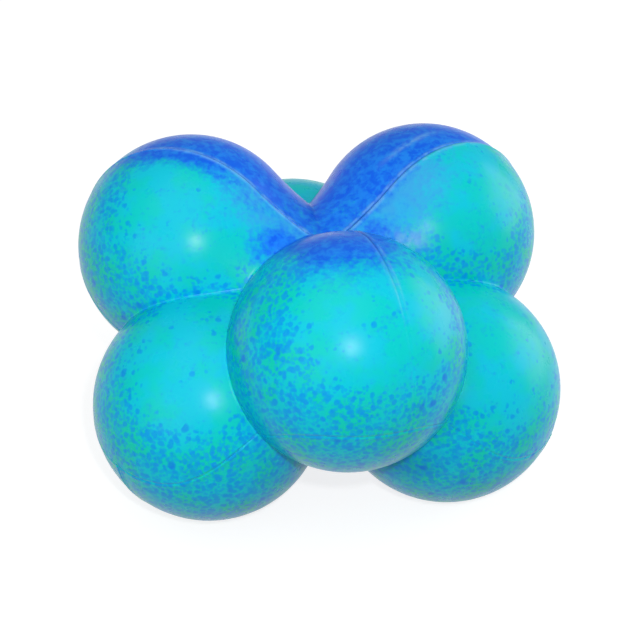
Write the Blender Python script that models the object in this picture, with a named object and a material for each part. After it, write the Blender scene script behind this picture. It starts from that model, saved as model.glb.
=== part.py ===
"""Six-lobed rubber ball that bounces at random: a solid core inside six cured cover segments.

Three lobes sit high and three low, in turn, round an upright axis. The ball stands on its three
low lobes at Z 0, with the axis at X 0, Y 0. A bearing is an angle round that axis, measured from
the front (-Y) towards the right (+X). All sizes are in metres.
"""

import math

import bmesh
import bpy
from mathutils import Matrix, Vector

# Size of the ball
LOBE_RADIUS = 0.01705
LOBE_REACH = 0.0206  # from the upright axis out to a lobe's centre
LOBE_RISE = 0.0074  # from the middle plane up or down to a lobe's centre
WAIST_RADIUS = 0.0138  # of the round body that the lobes grow out of
NECK_RADIUS = 0.045  # of the hollow blend from a lobe down to the waist
REST_FLAT_RADIUS = 0.0020  # of the patch pressed flat under each low lobe

# Cover
COVER_THICKNESS = 0.0026
CORE_CLEARANCE = 0.0004
SEAM_CLEARANCE = 0.0004
BELT_HIGH = 0.0047  # the belt seam's height over the middle plane on a high lobe
BELT_LOW = -0.0113  # and its height on a low lobe

# Bearings of the upright seams, in degrees
HIGH_SEAMS = {"front": 7.0, "right": 118.0, "left": 244.0}
LOW_SEAMS = {"left": -60.0, "right": 60.0, "back": 180.0}

# Fineness of the meshes: squares along each side of a lobe's patch
OUTER_SQUARES = 20
INNER_SQUARES = 12
BELT_STEP_DEGREES = 5.0

LOBES_PER_ROW = 3
MIDDLE_HEIGHT = LOBE_RISE + math.sqrt(LOBE_RADIUS**2 - REST_FLAT_RADIUS**2)
LOBE_DISTANCE = math.hypot(LOBE_REACH, LOBE_RISE)
BALL_REACH = LOBE_REACH + LOBE_RADIUS
CUTTER_REACH = 1.5 * BALL_REACH
SHARP_EDGE = math.radians(30)


def clear_scene():
    """Take the start-up objects out."""
    for thing in list(bpy.data.objects):
        bpy.data.objects.remove(thing, do_unlink=True)


def rubber(name, colour):
    """A satin rubber in one colour."""
    material = bpy.data.materials.new(name)
    material.use_nodes = True
    shader = material.node_tree.nodes["Principled BSDF"]
    shader.inputs["Base Color"].default_value = (*colour, 1.0)
    shader.inputs["Roughness"].default_value = 0.35
    shader.inputs["Metallic"].default_value = 0.0
    return material


def round_the_axis(bearing_degrees, radius, height):
    """The point at this bearing, distance from the axis, and height."""
    bearing = math.radians(bearing_degrees)
    return Vector((radius * math.sin(bearing), -radius * math.cos(bearing), height))


def add_object(name, mesh):
    """A new object in the scene that holds this mesh."""
    thing = bpy.data.objects.new(name, mesh)
    bpy.context.collection.objects.link(thing)
    return thing


def mesh_from(shape, name):
    """A smooth-shaded mesh out of a bmesh, with its faces pointing out."""
    bmesh.ops.recalc_face_normals(shape, faces=shape.faces)
    mesh = bpy.data.meshes.new(name)
    shape.to_mesh(mesh)
    shape.free()
    mesh.shade_smooth()
    mesh.set_sharp_from_angle(angle=SHARP_EDGE)
    return mesh


# The lobed body

def lobe_arcs(inset):
    """A lobe's profile in the plane of its own axis, as (centre, radius, first and last angle).

    The ball's middle is at 0, 0 and the lobe's axis is the first coordinate. The arcs are the
    lobe's dome, the hollow neck that touches both dome and waist, and the waist.
    """
    neck_distance = WAIST_RADIUS + NECK_RADIUS
    squares = LOBE_DISTANCE**2 + neck_distance**2 - (LOBE_RADIUS + NECK_RADIUS) ** 2
    waist_angle = math.acos(squares / (2 * LOBE_DISTANCE * neck_distance))
    dome_centre = Vector((LOBE_DISTANCE, 0.0))
    neck_centre = neck_distance * Vector((math.cos(waist_angle), math.sin(waist_angle)))
    to_neck = neck_centre - dome_centre
    dome_end = math.atan2(to_neck.y, to_neck.x)
    neck_end = waist_angle - math.pi
    return (
        (dome_centre, LOBE_RADIUS - inset, 0.0, dome_end),
        (neck_centre, NECK_RADIUS + inset, dome_end - math.pi, neck_end),
        (Vector((0.0, 0.0)), WAIST_RADIUS - inset, waist_angle, math.pi),
    )


def profile_point(arcs, length):
    """The point this far along the profile from the top of the dome."""
    for centre, radius, first, last in arcs:
        arc_length = radius * abs(last - first)
        if length <= arc_length or (centre, radius) == arcs[-1][:2]:
            angle = first + math.copysign(length / radius, last - first)
            return centre + radius * Vector((math.cos(angle), math.sin(angle)))
        length -= arc_length


def profile_length(arcs, tilt):
    """How far along the profile the point lies that is seen from the middle at this tilt."""
    low = 0.0
    high = sum(radius * abs(last - first) for _, radius, first, last in arcs)
    for _ in range(48):
        length = (low + high) / 2
        point = profile_point(arcs, length)
        if math.atan2(point.y, point.x) < tilt:
            low = length
        else:
            high = length
    return low


def lobed_body(name, inset, squares):
    """The whole ball's outer shape, or the same shape this much further in.

    The planes where lobes meet are those of a cube that stands on its corner and is stretched
    upright. So each face of a cube becomes one lobe's patch, and its edges become the creases.
    """
    arcs = lobe_arcs(inset)
    stretch = LOBE_REACH / (2 * LOBE_RISE)
    spacing = 360.0 / LOBES_PER_ROW
    corners = Matrix([round_the_axis(i * spacing, 1.0, stretch) for i in range(LOBES_PER_ROW)])
    corners.transpose()
    lobe_axes = corners.inverted().transposed()

    shape = bmesh.new()
    bmesh.ops.create_cube(shape, size=2.0)
    bmesh.ops.subdivide_edges(shape, edges=shape.edges, cuts=squares - 1, use_grid_fill=True)
    for vertex in shape.verts:
        place = vertex.co
        side = max(range(3), key=lambda i: abs(place[i]))
        face_centre = Vector([math.copysign(1.0, place[i]) if i == side else 0.0 for i in range(3)])
        offset = place - face_centre
        ring = max(abs(value) for value in offset)
        lobe_axis = (lobe_axes @ face_centre).normalized()
        if ring < 1e-6:
            vertex.co = profile_point(arcs, 0.0).x * lobe_axis
            continue
        crease = (corners @ (face_centre + offset / ring)).normalized()
        outward = (crease - crease.dot(lobe_axis) * lobe_axis).normalized()
        crease_length = profile_length(arcs, crease.angle(lobe_axis))
        point = profile_point(arcs, ring * crease_length)
        vertex.co = point.x * lobe_axis + point.y * outward
    bmesh.ops.triangulate(shape, faces=shape.faces, quad_method="FIXED")
    bmesh.ops.translate(shape, verts=shape.verts, vec=(0.0, 0.0, MIDDLE_HEIGHT))
    return mesh_from(shape, name)


# The seams

def belt_point(bearing_degrees, radius, offset):
    """A point on the belt seam's surface, which waves up at the high lobes and down at the low."""
    swing = (BELT_HIGH - BELT_LOW) / 2
    wave = math.sin(math.pi / 2 * math.cos(math.radians(LOBES_PER_ROW * bearing_degrees)))
    height = MIDDLE_HEIGHT + (BELT_HIGH + BELT_LOW) / 2 + swing * wave * radius / BALL_REACH
    return round_the_axis(bearing_degrees, radius, height + offset)


def belt_offset():
    """Half the belt seam's upright gap, wide enough for its clearance on its steepest slope."""
    swing = (BELT_HIGH - BELT_LOW) / 2
    steepest = swing * LOBES_PER_ROW * math.pi / 2 / BALL_REACH
    return SEAM_CLEARANCE / 2 * math.hypot(1.0, steepest)


def sector_cutter(name, first_seam, last_seam, is_high):
    """A wedge from the axis out past the ball, between two upright seams and the belt seam."""
    half_width = math.radians(last_seam - first_seam) / 2
    middle = (first_seam + last_seam) / 2
    shift = round_the_axis(middle, SEAM_CLEARANCE / 2 / math.sin(half_width), 0.0)
    offset = belt_offset() if is_high else -belt_offset()
    end_height = 2 * MIDDLE_HEIGHT + LOBE_RADIUS if is_high else 0.0

    shape = bmesh.new()
    steps = math.ceil((last_seam - first_seam) / BELT_STEP_DEGREES)
    bearings = [first_seam + (last_seam - first_seam) * i / steps for i in range(steps + 1)]
    belt = [belt_point(0.0, 0.0, offset)]
    belt += [belt_point(bearing, CUTTER_REACH, offset) for bearing in bearings]
    belt_corners = [shape.verts.new(point + shift) for point in belt]
    end_corners = [shape.verts.new((v.co.x, v.co.y, end_height)) for v in belt_corners]
    shape.faces.new(end_corners)
    for i in range(len(belt_corners)):
        after = (i + 1) % len(belt_corners)
        shape.faces.new((belt_corners[i], belt_corners[after], end_corners[after], end_corners[i]))
    for i in range(1, len(belt_corners) - 1):
        shape.faces.new((belt_corners[0], belt_corners[i], belt_corners[i + 1]))
    return as_cutter(add_object(name, mesh_from(shape, name)))


def as_cutter(thing):
    """Mark an object as a cutter, which is no part of the ball."""
    thing.hide_render = True
    thing.display_type = "WIRE"
    return thing


def cut(thing, cutter, operation):
    """Cut an object with a cutter."""
    modifier = thing.modifiers.new(cutter.name, "BOOLEAN")
    modifier.operation = operation
    modifier.solver = "EXACT"
    modifier.object = cutter


# The pieces

def build_core():
    """The solid middle, a little smaller than the space inside the cover."""
    mesh = lobed_body("core", COVER_THICKNESS + CORE_CLEARANCE, INNER_SQUARES)
    mesh.materials.append(rubber("core_rubber", (0.03, 0.05, 0.07)))
    add_object("core", mesh)


def build_cover(name, outer_mesh, inside, seams, is_high, colour):
    """One cover segment: the wall of the ball between its seams."""
    mesh = outer_mesh.copy()
    mesh.materials.append(rubber(name + "_rubber", colour))
    cover = add_object(name, mesh)
    cut(cover, inside, "DIFFERENCE")
    cut(cover, sector_cutter(name + "_cutter", *seams, is_high), "INTERSECT")


def build_ball():
    """The core, the three high covers and the three low covers."""
    outer_mesh = lobed_body("outside", 0.0, OUTER_SQUARES)
    inside_mesh = lobed_body("inside", COVER_THICKNESS, INNER_SQUARES)
    inside = as_cutter(add_object("inside_cutter", inside_mesh))
    build_core()
    high_covers = {
        "upper_cover_front_right": (HIGH_SEAMS["front"], HIGH_SEAMS["right"]),
        "upper_cover_back": (HIGH_SEAMS["right"], HIGH_SEAMS["left"]),
        "upper_cover_front_left": (HIGH_SEAMS["left"], HIGH_SEAMS["front"] + 360.0),
    }
    for name, seams in high_covers.items():
        build_cover(name, outer_mesh, inside, seams, True, (0.01, 0.42, 0.72))
    low_covers = {
        "lower_cover_front": (LOW_SEAMS["left"], LOW_SEAMS["right"]),
        "lower_cover_back_right": (LOW_SEAMS["right"], LOW_SEAMS["back"]),
        "lower_cover_back_left": (LOW_SEAMS["back"], LOW_SEAMS["left"] + 360.0),
    }
    for name, seams in low_covers.items():
        build_cover(name, outer_mesh, inside, seams, False, (0.01, 0.60, 0.58))


clear_scene()
build_ball()
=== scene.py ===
import math

import bmesh
import bpy
import numpy as np
from mathutils import Matrix, Vector


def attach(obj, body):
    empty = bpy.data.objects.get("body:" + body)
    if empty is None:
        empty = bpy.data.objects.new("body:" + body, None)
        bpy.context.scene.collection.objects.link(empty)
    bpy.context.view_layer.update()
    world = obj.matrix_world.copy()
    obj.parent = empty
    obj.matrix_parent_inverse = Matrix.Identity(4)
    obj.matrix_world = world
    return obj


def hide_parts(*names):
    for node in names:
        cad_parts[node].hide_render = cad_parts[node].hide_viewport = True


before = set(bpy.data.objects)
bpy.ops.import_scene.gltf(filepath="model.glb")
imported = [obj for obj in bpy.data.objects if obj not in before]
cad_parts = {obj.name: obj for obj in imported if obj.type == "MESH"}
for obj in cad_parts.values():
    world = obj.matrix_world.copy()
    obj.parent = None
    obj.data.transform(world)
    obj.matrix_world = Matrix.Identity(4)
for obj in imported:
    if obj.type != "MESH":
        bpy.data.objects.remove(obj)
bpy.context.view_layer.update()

# The moulded shape
# Six rubber lobes, three high and three low in turn round an upright axis, grow out of one waist.
# The press closes on the rubber and leaves this one skin; the seams below divide it into covers.
LOBE_RADIUS = 0.01702
LOBE_REACH = 0.0206  # from the upright axis out to a lobe's centre
LOBE_RISE = 0.0074  # from the middle plane to a lobe's centre
WAIST_RADIUS = 0.0138
NECK_RADIUS = 0.045  # of the hollow blend from a lobe into the waist
CREASE_ROUNDING = 0.00032
REST_FLAT_RADIUS = 0.002  # of the patch that its weight presses flat under each low lobe
MIDDLE = Vector((0.0, 0.0, LOBE_RISE + math.sqrt(LOBE_RADIUS**2 - REST_FLAT_RADIUS**2)))


def at_bearing(degrees, radius, height):
    """A point round the upright axis: bearing 0 is the front (-Y), 90 the right (+X)."""
    bearing = math.radians(degrees)
    return Vector((radius * math.sin(bearing), -radius * math.cos(bearing), height))


LOBES = {
    "front": at_bearing(0, LOBE_REACH, LOBE_RISE),
    "right": at_bearing(120, LOBE_REACH, LOBE_RISE),
    "left": at_bearing(240, LOBE_REACH, LOBE_RISE),
    "low_back": at_bearing(180, LOBE_REACH, -LOBE_RISE),
    "low_left": at_bearing(-60, LOBE_REACH, -LOBE_RISE),
    "low_right": at_bearing(60, LOBE_REACH, -LOBE_RISE),
}


def lobe_profile():
    """Points down a lobe's dome, neck and waist: distance along its axis, and from its axis."""
    lobe_distance = math.hypot(LOBE_REACH, LOBE_RISE)
    neck_distance = WAIST_RADIUS + NECK_RADIUS
    squares = lobe_distance**2 + neck_distance**2 - (LOBE_RADIUS + NECK_RADIUS) ** 2
    waist_angle = math.acos(squares / (2 * lobe_distance * neck_distance))
    neck_x = neck_distance * math.cos(waist_angle)
    neck_y = neck_distance * math.sin(waist_angle)
    dome_end = math.atan2(neck_y, neck_x - lobe_distance)
    dome = np.linspace(0.0, dome_end, 1500)
    neck = np.linspace(dome_end - math.pi, waist_angle - math.pi, 800)[1:]
    waist = np.linspace(waist_angle, math.pi, 400)[1:]
    along = np.concatenate([
        lobe_distance + LOBE_RADIUS * np.cos(dome),
        neck_x + NECK_RADIUS * np.cos(neck),
        WAIST_RADIUS * np.cos(waist),
    ])
    across = np.concatenate([
        LOBE_RADIUS * np.sin(dome),
        neck_y + NECK_RADIUS * np.sin(neck),
        WAIST_RADIUS * np.sin(waist),
    ])
    return along, across


# A cube on its corner has the creases' pattern: one face for each lobe, one edge for each crease.
bpy.ops.object.select_all(action="DESELECT")
bpy.ops.mesh.primitive_cube_add(size=2.0)
mould = bpy.context.object
mould.name = "mould_shape"
bpy.ops.object.mode_set(mode="EDIT")
bpy.ops.mesh.select_all(action="SELECT")
bpy.ops.mesh.subdivide(number_cuts=59)
bpy.ops.mesh.subdivide(number_cuts=1)
bpy.ops.object.mode_set(mode="OBJECT")

cube = np.empty(len(mould.data.vertices) * 3)
mould.data.vertices.foreach_get("co", cube)
cube = cube.reshape(-1, 3)
on_face = np.abs(cube) > 0.999999
side = on_face.argmax(axis=1)
face_centre = np.zeros_like(cube)
rows = np.arange(len(cube))
face_centre[rows, side] = np.sign(cube[rows, side])
offset = cube - face_centre
ring = np.abs(offset).max(axis=1)

# The cube's frame once it stands on its corner and is stretched until its faces look at the lobes.
stretch = LOBE_REACH / (2 * LOBE_RISE)
corners = np.array([at_bearing(bearing, 1.0, stretch) for bearing in (0, 120, 240)]).T
lobe_axis = face_centre @ np.linalg.inv(corners)
lobe_axis /= np.linalg.norm(lobe_axis, axis=1)[:, None]
crease = (face_centre + offset / np.maximum(ring, 1e-9)[:, None]) @ corners.T
crease /= np.linalg.norm(crease, axis=1)[:, None]
cosine = (crease * lobe_axis).sum(axis=1)
outward = crease - cosine[:, None] * lobe_axis
outward /= np.maximum(np.linalg.norm(outward, axis=1), 1e-9)[:, None]

along, across = lobe_profile()
steps = np.hypot(np.diff(along), np.diff(across))
length = np.concatenate([[0.0], np.cumsum(steps)])
crease_length = np.interp(np.arccos(np.clip(cosine, -1, 1)), np.arctan2(across, along), length)
here = ring * crease_length
surface = np.interp(here, length, along)[:, None] * lobe_axis
surface += np.interp(here, length, across)[:, None] * outward
surface += np.array(MIDDLE)
mould.data.vertices.foreach_set("co", surface.ravel())
mould.data.update()

# The creases between lobes are left a little rounded, as rubber can't fill a sharp corner.
ends = np.empty(len(mould.data.edges) * 2, dtype=int)
mould.data.edges.foreach_get("vertices", ends)
ends = ends.reshape(-1, 2)
is_crease = (on_face[ends[:, 0]] & on_face[ends[:, 1]]).sum(axis=1) >= 2
bpy.ops.object.mode_set(mode="EDIT")
bpy.ops.mesh.select_mode(type="EDGE")
bpy.ops.mesh.select_all(action="DESELECT")
bpy.ops.object.mode_set(mode="OBJECT")
mould.data.edges.foreach_set("select", is_crease)
bpy.ops.object.mode_set(mode="EDIT")
bpy.ops.mesh.bevel(offset=CREASE_ROUNDING, segments=3, affect="EDGES")
bpy.ops.mesh.select_all(action="SELECT")
bpy.ops.mesh.normals_make_consistent(inside=False)
bpy.ops.object.mode_set(mode="OBJECT")

# The seams
# Raised lines of cured rubber where two covers met in the press: three upright seams over the
# high lobes, three under the low ones, and one belt seam that waves round between them.
HIGH_SEAMS = {"front": 9.4, "right": 117.4, "left": 238.2}
LOW_SEAMS = {"left": -60.0, "right": 60.0, "back": 180.0}
HIGH_MEETING = Vector((0.0004, -0.0026, 0.0))  # where the high seams meet, beside the axis
LOW_MEETING = Vector((0.0, 0.0, 0.0))
BELT_HIGH = 0.0047  # over the middle plane on a high lobe
BELT_LOW = -0.0113  # and on a low lobe
SCORED_BESIDE = 0.003  # how far from a seam the faces are scored
SEAM_LINES = [0.0, 0.00008, 0.00018, 0.0003, 0.00045, 0.00065, 0.0009, 0.0013]


def vertex_places(mesh):
    """Every vertex of a mesh, one row each."""
    places = np.empty(len(mesh.vertices) * 3)
    mesh.vertices.foreach_get("co", places)
    return places.reshape(-1, 3)


def move_vertices(mesh, places):
    """Put the vertices of a mesh at these places."""
    mesh.vertices.foreach_set("co", places.ravel())
    mesh.update()


def belt_height(places):
    """The belt seam's height where each of these places is."""
    bearing = np.arctan2(places[:, 0], -places[:, 1])
    wave = np.sin(math.pi / 2 * np.cos(3 * bearing))
    radius = np.hypot(places[:, 0], places[:, 1]) / (LOBE_REACH + LOBE_RADIUS)
    return MIDDLE.z + (BELT_HIGH + BELT_LOW) / 2 + (BELT_HIGH - BELT_LOW) / 2 * wave * radius


def score_lines(thing, start, normal, wanted):
    """Score lines beside a seam's plane through start, across the faces that are wanted."""
    shape = bmesh.from_edit_mesh(thing.data)
    for face in shape.faces:
        middle = face.calc_center_median()
        near = abs((middle - start).dot(normal)) < SCORED_BESIDE
        face.select_set(near and wanted(middle))
    bmesh.update_edit_mesh(thing.data)
    bpy.ops.mesh.hide(unselected=True)
    for distance in SEAM_LINES:
        for sign in (1, -1) if distance else (1,):
            bpy.ops.mesh.select_all(action="SELECT")
            place = start + sign * distance * normal
            bpy.ops.mesh.bisect(plane_co=place, plane_no=normal, threshold=1e-8)
    bpy.ops.mesh.reveal(select=False)


# The belt is scored while its wave is drawn out flat.
flat = vertex_places(mould.data)
flat[:, 2] -= belt_height(flat)
move_vertices(mould.data, flat)
bpy.ops.object.mode_set(mode="EDIT")
bpy.ops.mesh.select_mode(type="FACE")
score_lines(mould, Vector((0, 0, 0)), Vector((0, 0, 1)), lambda middle: True)
bpy.ops.object.mode_set(mode="OBJECT")
flat = vertex_places(mould.data)
flat[:, 2] += belt_height(flat)
move_vertices(mould.data, flat)

# Each upright seam is scored on its own side of where they meet, above the belt or below it.


def belt_side(middle):
    """Above the belt seam this is positive, and below it negative."""
    return middle.z - belt_height(np.array([middle]))[0]


bpy.ops.object.mode_set(mode="EDIT")
for seams, meeting, half in ((HIGH_SEAMS, HIGH_MEETING, 1), (LOW_SEAMS, LOW_MEETING, -1)):
    for bearing in seams.values():
        towards = at_bearing(bearing, 1.0, 0.0)
        across_seam = at_bearing(bearing + 90, 1.0, 0.0)

        def beside(middle):
            return (middle - meeting).dot(towards) > 0 and belt_side(middle) * half > 0

        score_lines(mould, meeting, across_seam, beside)
bpy.ops.object.mode_set(mode="OBJECT")

# Each seam stands up as a pair of lips with a fine groove between them, deepest in the dimples.
# The grooves are pressed into the shape before the covers are taken off it one by one.
LIP_OFFSET = 0.00040  # from the groove's bottom to the top of a lip
LIP_WIDTH = 0.00022
LIP_HEIGHT = 0.00009
GROOVE_WIDTH = 0.00015
GROOVE_IN_DIMPLE = 0.00022
GROOVE_OUTSIDE = 0.00006
BELT_LIP_HEIGHT = 0.00005
BELT_GROOVE = 0.00005


def smooth_step(low, high, value):
    """0 below low, 1 above high, and a smooth rise between them."""
    share = np.clip((value - low) / (high - low), 0.0, 1.0)
    return share * share * (3 - 2 * share)


def lips(distance, lip, groove):
    """How far the skin stands out at this distance from a seam."""
    raised = lip * np.exp(-(((np.abs(distance) - LIP_OFFSET) / LIP_WIDTH) ** 2))
    return raised - groove * np.exp(-((distance / GROOVE_WIDTH) ** 2))


def seam_distance(places, meeting, bearing):
    """Distance from an upright seam's plane, on the seam's own side of the meeting only."""
    places = places - np.array(meeting)
    towards = np.array(at_bearing(bearing, 1.0, 0.0))
    beside = np.array(at_bearing(bearing + 90, 1.0, 0.0))
    return np.where(places @ towards > -0.0002, places @ beside, 1.0)


def vertex_normals(mesh):
    """Every vertex's normal, one row each."""
    normals = np.empty(len(mesh.vertices) * 3)
    mesh.vertex_normals.foreach_get("vector", normals)
    return normals.reshape(-1, 3)


def seam_relief(places):
    """How far the skin stands out at each place: lips and grooves of the seams that it is near."""
    radius = np.hypot(places[:, 0], places[:, 1])
    from_belt = places[:, 2] - belt_height(places)
    in_dimple = 1 - smooth_step(0.005, 0.014, radius)
    groove = GROOVE_OUTSIDE + (GROOVE_IN_DIMPLE - GROOVE_OUTSIDE) * in_dimple
    relief = lips(from_belt, BELT_LIP_HEIGHT, BELT_GROOVE)
    for seams, meeting, half in ((HIGH_SEAMS, HIGH_MEETING, 1), (LOW_SEAMS, LOW_MEETING, -1)):
        beside_belt = from_belt * half > -0.00002
        out_of_middle = (places[:, 2] - MIDDLE.z) * half
        for name, bearing in seams.items():
            faded = 0.35 + 0.65 * smooth_step(0.0, 0.012, out_of_middle)
            if seams is HIGH_SEAMS and name == "front":  # rubbed down over most of its lobe
                faded = 0.25 + 0.75 * smooth_step(0.0190, 0.0228, out_of_middle)
            upright = lips(seam_distance(places, meeting, bearing), LIP_HEIGHT, groove) * faded
            relief += np.where(beside_belt, upright, 0.0)
    return relief


# The covers' finish
# Turquoise rubber with fine blue specks pressed in with it, bare on the side of each lobe that
# was misted last, and a deep blue crown sprayed where the high lobes meet.
CLEAN_PATCHES = {  # bearing and elevation of each lobe's bare patch, seen from its centre
    "front": (12, 52),
    "right": (25, 58),
    "left": (-5, 54),
    "low_left": (-23, 60),
    "low_right": (34, 51),
    "low_back": (180, 60),
}


def srgb(red, green, blue):
    """A colour from 0-255 values as linear light."""
    return tuple(
        (v / 12.92 if v <= 0.04045 else ((v + 0.055) / 1.055) ** 2.4)
        for v in (red / 255, green / 255, blue / 255)
    ) + (1.0,)


def nearest_lobe(places):
    """For every place the lobe that it lies on, as names, and its direction from that centre."""
    names = list(LOBES)
    centres = np.array([LOBES[name] for name in names])
    outward = places - np.array(MIDDLE)
    which = (outward @ centres.T).argmax(axis=1)
    normals = outward - centres[which]
    normals /= np.linalg.norm(normals, axis=1)[:, None]
    return np.array(names)[which], normals


def beside_crease(places):
    """Distance from the crease between the two lobes that are nearest to each place."""
    centres = np.array(list(LOBES.values()))
    outward = (places - np.array(MIDDLE)) @ centres.T
    order = outward.argsort(axis=1)
    first, second = order[:, -1], order[:, -2]
    row = np.arange(len(places))
    apart = np.linalg.norm(centres[first] - centres[second], axis=1)
    return (outward[row, first] - outward[row, second]) / apart


def speck_density(places):
    """How thickly the blue specks lie: none on a lobe's clean patch, and all over the rest."""
    lobe, normal = nearest_lobe(places)
    clean = np.zeros_like(normal)
    for name, (bearing, elevation) in CLEAN_PATCHES.items():
        tilt = math.radians(elevation)
        clean[lobe == name] = at_bearing(bearing, math.cos(tilt), math.sin(tilt))
    return 1 - smooth_step(0.56, 0.94, (normal * clean).sum(axis=1))


class Nodes:
    """Adds shader nodes to a material and links them as they are made."""

    def __init__(self, name):
        self.material = bpy.data.materials.new(name)
        self.material.use_nodes = True
        self.tree = self.material.node_tree
        self.shader = self.tree.nodes["Principled BSDF"]
        place = self.add("ShaderNodeTexCoord")
        self.place = place.outputs["Object"]

    def add(self, kind, settings=None, **inputs):
        """A node with these settings; each input is a value, or a socket to link."""
        node = self.tree.nodes.new(kind)
        for name, value in (settings or {}).items():
            setattr(node, name, value)
        for name, value in inputs.items():
            self.feed(node.inputs[name.replace("_", " ")], value)
        return node

    def feed(self, socket, value):
        """Link or set one socket."""
        if isinstance(value, bpy.types.NodeSocket):
            self.tree.links.new(value, socket)
        else:
            socket.default_value = value

    def noise(self, scale, detail=2.0, roughness=0.5, distortion=0.0):
        """A noise over the piece's own place."""
        node = self.add("ShaderNodeTexNoise", Vector=self.place, Scale=scale, Detail=detail,
                        Roughness=roughness, Distortion=distortion)
        return node.outputs["Fac"]

    def dots(self, scale, size, amount):
        """Round specks of a dye: amount is the share of places that hold one."""
        shift = self.add("ShaderNodeTexNoise", Vector=self.place, Scale=scale * 0.8, Detail=1.0)
        moved = self.add("ShaderNodeVectorMath", {"operation": "MULTIPLY_ADD"})
        self.feed(moved.inputs[0], shift.outputs["Color"])
        moved.inputs[1].default_value = (0.5 / scale,) * 3
        self.feed(moved.inputs[2], self.place)
        cells = self.add("ShaderNodeTexVoronoi", Vector=moved.outputs[0], Scale=scale)
        luck = self.add("ShaderNodeSeparateColor", Color=cells.outputs["Color"])
        held = self.ramp(self.sum(amount, luck.outputs[0], "SUBTRACT"), -0.06, 0.06)
        round_dot = self.ramp(cells.outputs["Distance"], size - 0.16, size + 0.06, 1.0, 0.0)
        return self.sum(held, round_dot, "MULTIPLY")

    def attribute(self, name):
        """A value kept on the piece's vertices."""
        return self.add("ShaderNodeAttribute", {"attribute_name": name}).outputs["Fac"]

    def sum(self, first, second, operation="ADD"):
        """Arithmetic on two values."""
        node = self.add("ShaderNodeMath", {"operation": operation})
        self.feed(node.inputs[0], first)
        self.feed(node.inputs[1], second)
        return node.outputs[0]

    def ramp(self, value, low, high, to_low=0.0, to_high=1.0):
        """A smooth step from low to high."""
        node = self.add("ShaderNodeMapRange", {"interpolation_type": "SMOOTHSTEP"}, Value=value)
        node.inputs["From Min"].default_value = low
        node.inputs["From Max"].default_value = high
        node.inputs["To Min"].default_value = to_low
        node.inputs["To Max"].default_value = to_high
        return node.outputs["Result"]

    def mix(self, factor, first, second):
        """A colour between two."""
        node = self.add("ShaderNodeMix", {"data_type": "RGBA"})
        self.feed(node.inputs[0], factor)
        self.feed(node.inputs[6], first)
        self.feed(node.inputs[7], second)
        return node.outputs[2]


def speckled_rubber(name):
    """Satin turquoise rubber: specks, haze and crown follow the values on the vertices."""
    nodes = Nodes(name)
    density = nodes.attribute("specks")
    crown = nodes.attribute("crown")
    haze = nodes.attribute("haze")
    worn = nodes.attribute("worn")

    patches = nodes.ramp(nodes.noise(190.0, 3.0), 0.40, 0.60)
    clean = nodes.mix(patches, srgb(4, 206, 204), srgb(12, 201, 224))
    under = nodes.mix(patches, srgb(0, 206, 180), srgb(0, 201, 216))
    ground = nodes.mix(density, clean, under)

    clumps = nodes.ramp(nodes.noise(260.0, 2.0), 0.3, 0.7, -0.25, 0.25)
    thick = nodes.sum(nodes.ramp(density, 0.0, 0.85, -0.10, 0.84), clumps)
    for scale, size, colour, strength in (
        (1700.0, 0.56, srgb(0, 168, 230), 0.7),
        (1050.0, 0.50, srgb(0, 146, 232), 0.7),
    ):
        dots = nodes.dots(scale, size, thick)
        ground = nodes.mix(nodes.sum(dots, strength, "MULTIPLY"), ground, colour)
    large = nodes.dots(520.0, 0.36, nodes.sum(density, 0.10, "MULTIPLY"))
    ground = nodes.mix(nodes.sum(large, 0.75, "MULTIPLY"), ground, srgb(2, 122, 230))

    mist = nodes.sum(nodes.noise(1300.0, 2.0, 0.6), 0.5, "SUBTRACT")
    drift = nodes.sum(nodes.noise(240.0, 3.0, 0.6), 0.5, "SUBTRACT")
    edge = nodes.sum(nodes.sum(mist, 1.1, "MULTIPLY"), nodes.sum(drift, 0.8, "MULTIPLY"))
    haze_edge = nodes.ramp(nodes.sum(haze, edge), 0.05, 1.0)
    hazy = nodes.mix(patches, srgb(40, 182, 232), srgb(54, 170, 230))
    ground = nodes.mix(haze_edge, ground, hazy)

    network = nodes.ramp(nodes.noise(900.0, 2.0, 0.6, 0.4), 0.36, 0.66)
    deep = nodes.mix(network, srgb(12, 102, 236), srgb(28, 134, 242))
    crown_edge = nodes.ramp(nodes.sum(crown, edge), 0.0, 1.0)
    ground = nodes.mix(crown_edge, ground, deep)

    # Dark blue in the seam grooves, and painted shade low in the creases between lobes, in one colour.
    pooled = nodes.attribute("pooled")
    ground = nodes.mix(nodes.sum(pooled, 0.8, "MULTIPLY"), ground, srgb(8, 72, 176))
    scuffs = nodes.ramp(nodes.noise(600.0, 3.0, 0.6), 0.30, 0.62)
    colour = nodes.mix(nodes.sum(worn, scuffs, "MULTIPLY"), ground, srgb(120, 186, 238))

    peel = nodes.noise(1500.0, 2.0)
    fine = nodes.noise(5200.0, 2.0)
    relief = nodes.sum(peel, nodes.sum(fine, 0.35, "MULTIPLY"))
    bump = nodes.add("ShaderNodeBump", Height=relief)
    bump.inputs["Strength"].default_value = 0.12
    bump.inputs["Distance"].default_value = 0.00008
    rough = nodes.ramp(nodes.noise(420.0, 3.0), 0.2, 0.8, 0.25, 0.34)
    nodes.feed(nodes.shader.inputs["Base Color"], colour)
    nodes.feed(nodes.shader.inputs["Roughness"], rough)
    nodes.feed(nodes.shader.inputs["Normal"], bump.outputs["Normal"])
    nodes.shader.inputs["Specular IOR Level"].default_value = 0.14
    return nodes.material


# The covers
# Six segments of cured rubber, 2.5 mm thick, that meet at the seams. Each is taken off the pressed
# shape along its seams and given its wall; the back one sits a little low against its neighbours.
COVER_WALL = 0.0025
BACK_COVER_SINK = 0.00030
PALE_LIP = 0.00028  # width of the rubbed colour on a lip
POOLED_GROOVE = 0.0002  # and of the dark colour between two lips


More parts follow.
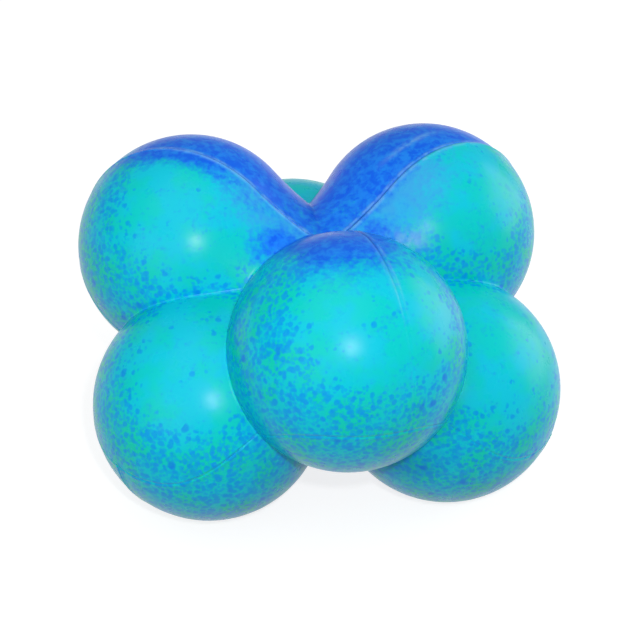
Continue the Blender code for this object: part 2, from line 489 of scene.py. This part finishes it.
def cover_segment(name, first_seam, last_seam, meeting, half):
    """The part of the pressed shape between two upright seams, above or below the belt."""
    bpy.ops.object.select_all(action="DESELECT")
    mould.select_set(True)
    bpy.context.view_layer.objects.active = mould
    bpy.ops.object.duplicate()
    cover = bpy.context.object
    cover.name = name
    cover.data.name = name
    bpy.ops.object.mode_set(mode="EDIT")
    bpy.ops.mesh.select_mode(type="FACE")
    bpy.ops.mesh.select_all(action="DESELECT")
    bpy.ops.object.mode_set(mode="OBJECT")
    middles = np.empty(len(cover.data.polygons) * 3)
    cover.data.polygons.foreach_get("center", middles)
    middles = middles.reshape(-1, 3)
    from_meeting = middles - np.array(meeting)
    turned = np.degrees(np.arctan2(from_meeting[:, 0], -from_meeting[:, 1])) - first_seam
    inside = (turned % 360) < (last_seam - first_seam)
    inside &= (middles[:, 2] - belt_height(middles)) * half > 0
    cover.data.polygons.foreach_set("select", ~inside)
    bpy.ops.object.mode_set(mode="EDIT")
    bpy.ops.mesh.delete(type="FACE")
    bpy.ops.object.mode_set(mode="OBJECT")
    return cover


def keep_on_vertices(cover, **values):
    """Keep values on the cover's vertices, for its finish to read."""
    for name, value in values.items():
        layer = cover.data.attributes.new(name, "FLOAT", "POINT")
        layer.data.foreach_set("value", value)


def finish_cover(cover, sunk, material, node):
    """Give the cover its wall, press its seams, and give it its finish and place in the frame."""
    outer = len(cover.data.vertices)
    outward = vertex_normals(cover.data)
    relief = seam_relief(vertex_places(cover.data)) - sunk
    bpy.ops.object.select_all(action="DESELECT")
    cover.select_set(True)
    bpy.context.view_layer.objects.active = cover
    wall = cover.modifiers.new("wall", "SOLIDIFY")
    wall.thickness = COVER_WALL
    wall.offset = -1.0
    bpy.ops.object.modifier_apply(modifier=wall.name)
    places = vertex_places(cover.data)
    places[:outer] += outward * relief[:, None]
    places[:, 2] = np.maximum(places[:, 2], 0.0)
    move_vertices(cover.data, places)
    bpy.ops.object.shade_smooth_by_angle(angle=math.radians(50))
    cover.data.materials.clear()
    cover.data.materials.append(material)
    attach(cover, "root")
    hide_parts(node)


def above_middle(places):
    """Angle from straight up, seen from the ball's middle, in degrees."""
    return np.degrees(np.arctan2(np.hypot(places[:, 0], places[:, 1]), places[:, 2] - MIDDLE.z))


def fade_out(value, start, end):
    """1 up to start, and smoothly down to 0 at end."""
    return 1 - smooth_step(start, end, value)


def beside_seams(places, meeting, bearings, offset, width):
    """1 at this distance from the upright seams, and 0 away from it."""
    near = [np.abs(seam_distance(places, meeting, bearing)) - offset for bearing in bearings]
    return np.clip(sum(np.exp(-((gap / width) ** 2)) for gap in near), 0, 1)


def painted_crease_shade(places):
    """Painted shade: darker colour low down in the creases between lobes, standing in for the shadow
    there.
    """
    lobe, _ = nearest_lobe(places)
    dark = np.select([lobe == "low_right", lobe == "low_back"], [0.62, 0.35], 0.12)
    low = fade_out(places[:, 2], 0.012, 0.0200)
    return dark * low * fade_out(beside_crease(places), 0.0004, 0.0070)


upper_rubber = speckled_rubber("speckled_blue_crown_rubber")
lower_rubber = speckled_rubber("speckled_turquoise_rubber")
SCUFF_PLACE = MIDDLE + Vector((0.0118, -0.0040, 0.0150))  # where the skin was rubbed pale
SCUFF_REACH = (0.0026, 0.0022, 0.0012)
high_covers = {
    "upper_cover_front_right": (HIGH_SEAMS["front"], HIGH_SEAMS["right"]),
    "upper_cover_back": (HIGH_SEAMS["right"], HIGH_SEAMS["left"]),
    "upper_cover_front_left": (HIGH_SEAMS["left"], HIGH_SEAMS["front"] + 360),
}
for node, seams in high_covers.items():
    cover = cover_segment(node + "_skin", *seams, HIGH_MEETING, 1)
    places = vertex_places(cover.data)
    from_top = above_middle(places)
    lobe, _ = nearest_lobe(places)
    specks = speck_density(places)
    beside = beside_crease(places)
    from_left_seam = np.abs(seam_distance(places, HIGH_MEETING, HIGH_SEAMS["left"]))
    from_right_seam = np.abs(seam_distance(places, HIGH_MEETING, HIGH_SEAMS["right"]))
    sunk = np.zeros(len(places))
    if node == "upper_cover_back":
        bare = lobe == "low_back"
        crown = 1.25 * fade_out(from_top, 46, 66) - 0.4 * fade_out(from_top, 18, 27)
        crown = np.where(bare, 0, crown)
        haze = np.where(bare, 0, 0.7 * fade_out(from_top, 60, 85))
        sunk = BACK_COVER_SINK * fade_out(from_top, 48, 75)
    else:
        haze = 1.15 * fade_out(from_top, 24, 52)
        haze = np.where(lobe == "left", fade_out(from_top, 20, 44), haze)
        sideways = np.abs(places[:, 0] + 0.001)
        on_front = 1.25 * fade_out(from_top, 36, 54) * fade_out(sideways, 0.0035, 0.0115)
        in_crease = 0.95 * fade_out(beside, 0.0008, 0.0046) * fade_out(from_top, 26, 54)
        in_crease *= smooth_step(10, 26, from_top)
        by_left_seam = fade_out(from_left_seam, 0.0006, 0.0056) * fade_out(from_top, 48, 66)
        by_left_seam *= 0.34 + 0.78 * smooth_step(28, 38, from_top)
        by_right_seam = 0.6 * fade_out(from_right_seam, 0.0004, 0.0026) * fade_out(from_top, 24, 40)
        crown = np.maximum(in_crease, np.maximum(by_left_seam, by_right_seam))
        crown = np.where(lobe == "front", on_front, crown)
    in_dimple = fade_out(from_top, 28, 58)
    behind = [HIGH_SEAMS["right"], HIGH_SEAMS["left"]]
    worn = 0.58 * beside_seams(places, HIGH_MEETING, behind, LIP_OFFSET, PALE_LIP)
    worn *= fade_out(from_top, 35, 70)
    front_lip = 0.3 * beside_seams(places, HIGH_MEETING, [HIGH_SEAMS["front"]], LIP_OFFSET, PALE_LIP)
    worn = np.maximum(worn, front_lip * fade_out(from_top, 44, 58))
    if node == "upper_cover_front_right":
        from_scuff = (places - np.array(SCUFF_PLACE)) / np.array(SCUFF_REACH)
        worn = np.maximum(worn, 0.9 * np.exp(-(from_scuff ** 2).sum(axis=1)))
    if node == "upper_cover_back":
        rubbed = np.exp(-(((from_right_seam - 0.0042) / 0.0006) ** 2))
        rubbed *= 0.55 * smooth_step(26, 34, from_top) * fade_out(from_top, 38, 46)
        worn = np.maximum(worn, rubbed)
    pooled = beside_seams(places, HIGH_MEETING, HIGH_SEAMS.values(), 0.0, POOLED_GROOVE) * in_dimple
    # Painted shade low in the creases is added to the seam grooves' dark colour.
    pooled = np.maximum(pooled, painted_crease_shade(places))
    keep_on_vertices(cover, specks=specks, crown=crown, haze=haze, worn=worn, pooled=pooled)
    finish_cover(cover, sunk, upper_rubber, node)

low_covers = {
    "lower_cover_front": (LOW_SEAMS["left"], LOW_SEAMS["right"]),
    "lower_cover_back_right": (LOW_SEAMS["right"], LOW_SEAMS["back"]),
    "lower_cover_back_left": (LOW_SEAMS["back"], LOW_SEAMS["left"] + 360),
}
for node, seams in low_covers.items():
    cover = cover_segment(node + "_skin", *seams, LOW_MEETING, -1)
    places = vertex_places(cover.data)
    from_bottom = 180 - above_middle(places)
    specks = speck_density(places)
    crown = 0.7 * fade_out(from_bottom, 20, 50)
    haze = 0.3 * fade_out(from_bottom, 40, 80)
    in_dimple = fade_out(from_bottom, 30, 60)
    worn = 0.4 * beside_seams(places, LOW_MEETING, LOW_SEAMS.values(), LIP_OFFSET, PALE_LIP) * in_dimple
    pooled = 0.6 * beside_seams(places, LOW_MEETING, LOW_SEAMS.values(), 0.0, POOLED_GROOVE) * in_dimple
    # Painted shade low in the creases is added to the seam grooves' dark colour.
    pooled = np.maximum(pooled, painted_crease_shade(places))
    keep_on_vertices(cover, specks=specks, crown=crown, haze=haze, worn=worn, pooled=pooled)
    finish_cover(cover, 0.0, lower_rubber, node)
bpy.data.objects.remove(mould)

# The core
# A plain lump of cheaper dark rubber that the covers are cured on; they seal it in all over.
core_nodes = Nodes("core_dark_rubber")
crumb = core_nodes.ramp(core_nodes.noise(380.0, 4.0, 0.6), 0.35, 0.65)
core_colour = core_nodes.mix(crumb, srgb(28, 32, 36), srgb(52, 58, 62))
core_bump = core_nodes.add("ShaderNodeBump", Height=core_nodes.noise(900.0, 3.0))
core_bump.inputs["Strength"].default_value = 0.4
core_bump.inputs["Distance"].default_value = 0.0002
core_nodes.feed(core_nodes.shader.inputs["Base Color"], core_colour)
core_nodes.feed(core_nodes.shader.inputs["Normal"], core_bump.outputs["Normal"])
core_nodes.shader.inputs["Roughness"].default_value = 0.75
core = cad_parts["core"]
core.data.materials.clear()
core.data.materials.append(core_nodes.material)

# The stand
# A plain white sheet on a table, lit by a large soft window on the right and a small flash.
SHEET_SIZE = 6.0
bpy.ops.mesh.primitive_plane_add(size=SHEET_SIZE, location=(0, 0, -0.00005))
sheet = bpy.context.object
sheet.name = "white_sheet"
paper = Nodes("white_paper")
paper.shader.inputs["Base Color"].default_value = (0.30, 0.30, 0.30, 1.0)
paper.shader.inputs["Roughness"].default_value = 0.9
glow = paper.add("ShaderNodeEmission")
glow.inputs["Color"].default_value = (1.0, 1.0, 1.0, 1.0)
glow.inputs["Strength"].default_value = 0.82
rays = paper.add("ShaderNodeLightPath").outputs
seen = paper.sum(paper.sum(rays["Is Camera Ray"], rays["Is Glossy Ray"], "MAXIMUM"),
                 rays["Is Transmission Ray"], "MAXIMUM")
glow_where_seen = paper.add("ShaderNodeMixShader")
paper.feed(glow_where_seen.inputs[0], seen)
paper.feed(glow_where_seen.inputs[2], glow.outputs[0])
both = paper.add("ShaderNodeAddShader")
paper.feed(both.inputs[0], paper.shader.outputs[0])
paper.feed(both.inputs[1], glow_where_seen.outputs[0])
output = paper.tree.nodes["Material Output"]
paper.feed(output.inputs["Surface"], both.outputs[0])
sheet.data.materials.append(paper.material)

# The camera stands a third of a metre off, a little above the ball and left of its front lobe.
CAMERA_DISTANCE = 0.34575
CAMERA_LENS = 129.66
towards_camera = Vector((-0.1765, -0.8208, 0.5433)).normalized()
camera_right = Vector((0.9824, -0.1814, 0.0452)).normalized()
camera_up = towards_camera.cross(camera_right).normalized()
camera_right = camera_up.cross(towards_camera)
aim = MIDDLE + 0.000228 * camera_right - 0.00051 * camera_up
turn = Matrix((camera_right, camera_up, towards_camera)).transposed().to_4x4()
camera_data = bpy.data.cameras.new("camera")
camera_data.lens = CAMERA_LENS
camera = bpy.data.objects.new("camera", camera_data)
camera.matrix_world = Matrix.Translation(aim + CAMERA_DISTANCE * towards_camera) @ turn
bpy.context.collection.objects.link(camera)
bpy.context.scene.camera = camera


def soft_light(name, direction, distance, size, power):
    """A square lamp that faces the ball's middle from this direction."""
    data = bpy.data.lights.new(name, "AREA")
    data.size = size
    data.energy = power
    lamp = bpy.data.objects.new(name, data)
    direction = direction.normalized()
    lamp.rotation_mode = "QUATERNION"
    lamp.rotation_quaternion = direction.to_track_quat("Z", "Y")
    lamp.location = MIDDLE + distance * direction
    bpy.context.collection.objects.link(lamp)


flash_direction = towards_camera + 0.07 * camera_up + 0.06 * camera_right
fill_direction = towards_camera - 0.8 * camera_right - 0.25 * camera_up
window_direction = 0.9 * camera_right + 0.35 * camera_up - 0.2 * towards_camera
soft_light("flash", flash_direction, 0.33, 0.012, 0.45)
soft_light("window", window_direction, 0.6, 0.45, 1.95)
soft_light("fill", fill_direction, 0.6, 0.5, 0.85)
soft_light("ceiling", Vector((-0.25, -0.2, 1.0)), 0.8, 0.8, 1.75)

world = bpy.data.worlds.new("white_room")
world.use_nodes = True
world.node_tree.nodes["Background"].inputs["Color"].default_value = (1.0, 1.0, 1.0, 1.0)
world.node_tree.nodes["Background"].inputs["Strength"].default_value = 0.31
bpy.context.scene.world = world
bpy.context.scene.view_settings.view_transform = "Standard"
